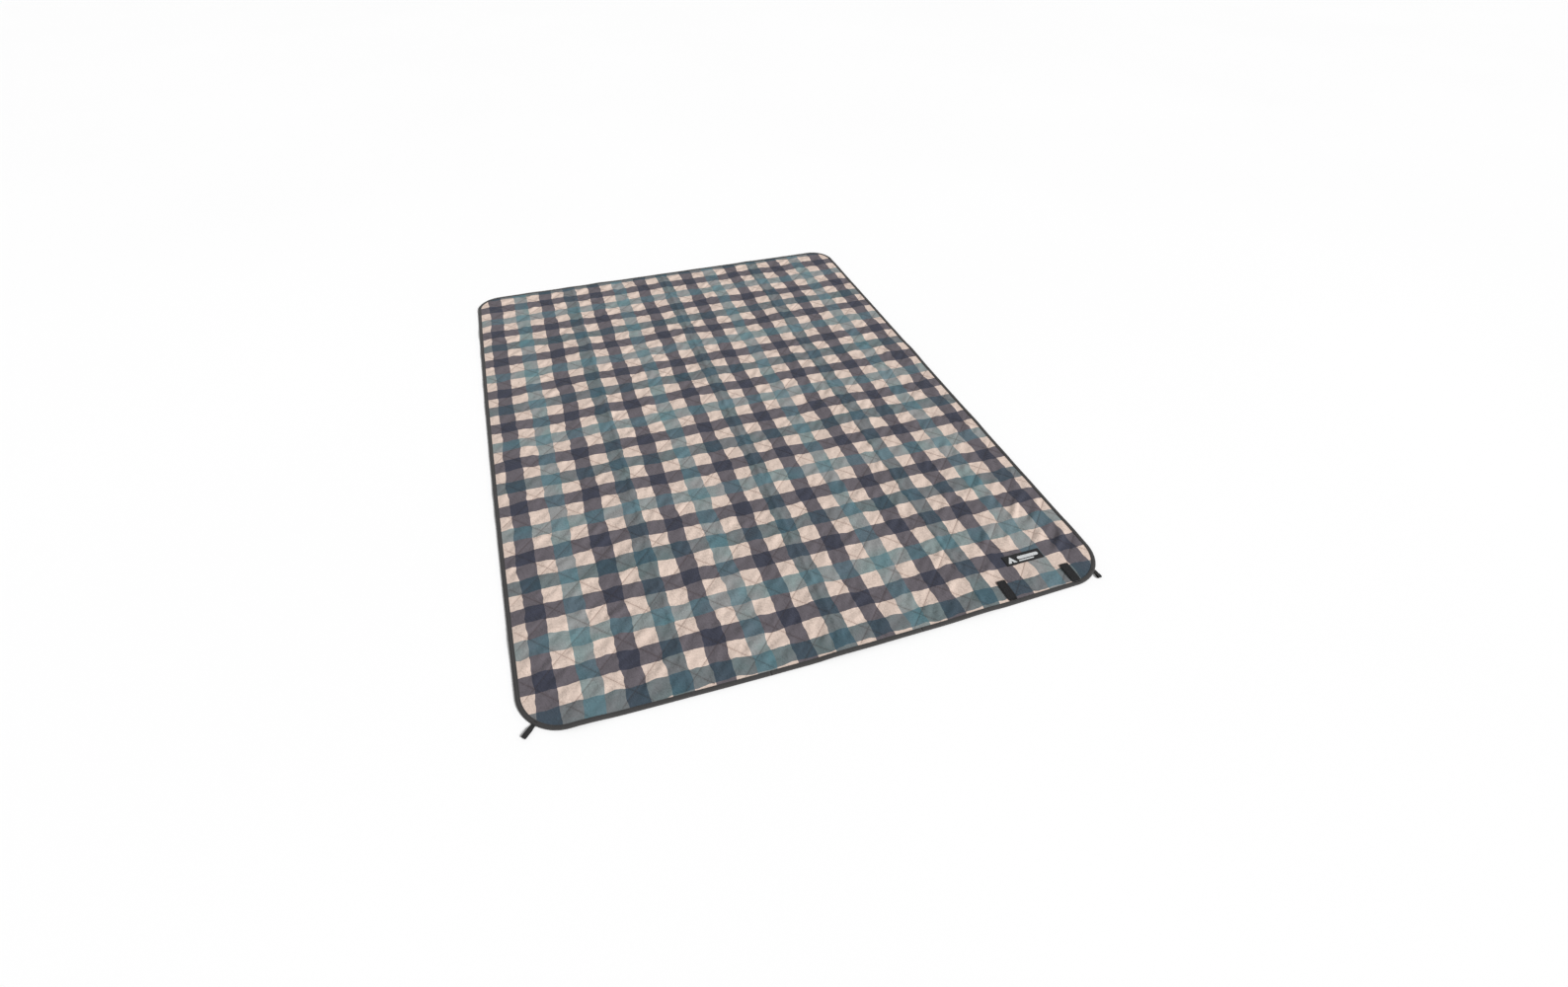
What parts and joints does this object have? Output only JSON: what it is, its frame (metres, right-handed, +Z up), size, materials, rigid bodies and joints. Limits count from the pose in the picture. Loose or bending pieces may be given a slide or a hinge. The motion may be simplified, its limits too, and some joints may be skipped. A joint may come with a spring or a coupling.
{
  "type": "camp blanket",
  "caption": "Padded, waterproof-backed outdoor rug with a checked cover, bound edge, peg loops and closing tabs; it folds in half and in half again.",
  "frame": {"origin": "middle of the laid-out rug, on the ground", "axes": "+X to the right across the width, +Y from the front edge with the label to the rear edge, +Z up"},
  "size_m": [1.5, 2, 0.0073],
  "materials": {
    "plaid_fabric": "matt brushed plaid",
    "wadding": "soft fibre",
    "coated_backing": "matt coated, quilting showing through",
    "binding_tape": "woven tape",
    "seam_thread": "polyester thread",
    "label_weave": "woven label",
    "tab_webbing": "woven tape",
    "hook_tape": "fine nylon hooks",
    "loop_tape": "fleecy loop pile",
    "loop_webbing": "narrow woven webbing"
  },
  "bodies": {
    "quarter_right": {"cover_right": "plaid_fabric", "wadding_right": "wadding", "backing_right": "coated_backing", "binding_right": "binding_tape", "seam_thread_right": "seam_thread", "label": "label_weave", "label_stitching": "seam_thread", "tab_patch_left": "loop_tape", "tab_patch_right": "loop_tape", "bartack_tab_left": "seam_thread", "bartack_tab_right": "seam_thread", "bartack_loop_right": "seam_thread"},
    "quarter_mid_right": {"cover_mid_right": "plaid_fabric", "wadding_mid_right": "wadding", "backing_mid_right": "coated_backing", "binding_mid_right": "binding_tape", "seam_thread_mid_right": "seam_thread"},
    "quarter_mid_left": {"cover_mid_left": "plaid_fabric", "wadding_mid_left": "wadding", "backing_mid_left": "coated_backing", "binding_mid_left": "binding_tape", "seam_thread_mid_left": "seam_thread"},
    "quarter_left": {"cover_left": "plaid_fabric", "wadding_left": "wadding", "backing_left": "coated_backing", "binding_left": "binding_tape", "seam_thread_left": "seam_thread", "bartack_loop_left": "seam_thread"},
    "tab_left": {"tab_left_webbing": "tab_webbing", "tab_left_hooks": "hook_tape"},
    "tab_right": {"tab_right_webbing": "tab_webbing", "tab_right_hooks": "hook_tape"},
    "peg_loop_left": {"peg_loop_left": "loop_webbing"},
    "peg_loop_right": {"peg_loop_right": "loop_webbing"}
  },
  "joints": [
    {"name": "quarter_fold", "type": "hinge", "parent": "quarter_right", "child": "quarter_mid_right", "pos_m": [0.375, 0, 0.0255], "axis": [0, 1, 0], "range_deg": [0, 179.9]},
    {"name": "half_fold", "type": "hinge", "parent": "quarter_mid_right", "child": "quarter_mid_left", "pos_m": [0, 0, 0.012], "axis": [0, 1, 0], "range_deg": [0, 179.9]},
    {"name": "tuck_fold", "type": "hinge", "parent": "quarter_mid_left", "child": "quarter_left", "pos_m": [-0.375, 0, -0.0015], "axis": [0, -1, 0], "range_deg": [0, 179.9]},
    {"name": "tab_left_flip", "type": "hinge", "parent": "quarter_right", "child": "tab_left", "pos_m": [0.455, -0.989, 0.0064], "axis": [1, 0, 0], "range_deg": [0, 179.9]},
    {"name": "tab_right_flip", "type": "hinge", "parent": "quarter_right", "child": "tab_right", "pos_m": [0.644, -0.989, 0.0064], "axis": [1, 0, 0], "range_deg": [0, 179.9]},
    {"name": "peg_loop_left_lift", "type": "hinge", "parent": "quarter_left", "child": "peg_loop_left", "pos_m": [-0.71884, -0.96884, 0.0032], "axis": [-0.7071, 0.7071, 0], "range_deg": [0, 35]},
    {"name": "peg_loop_right_lift", "type": "hinge", "parent": "quarter_right", "child": "peg_loop_right", "pos_m": [0.7095, -0.9806, 0.0032], "axis": [-1, 0, 0], "range_deg": [0, 35]}
  ],
  "couplings": [
    {"joint": "tuck_fold", "follows": "quarter_fold", "ratio": 1}
  ]
}
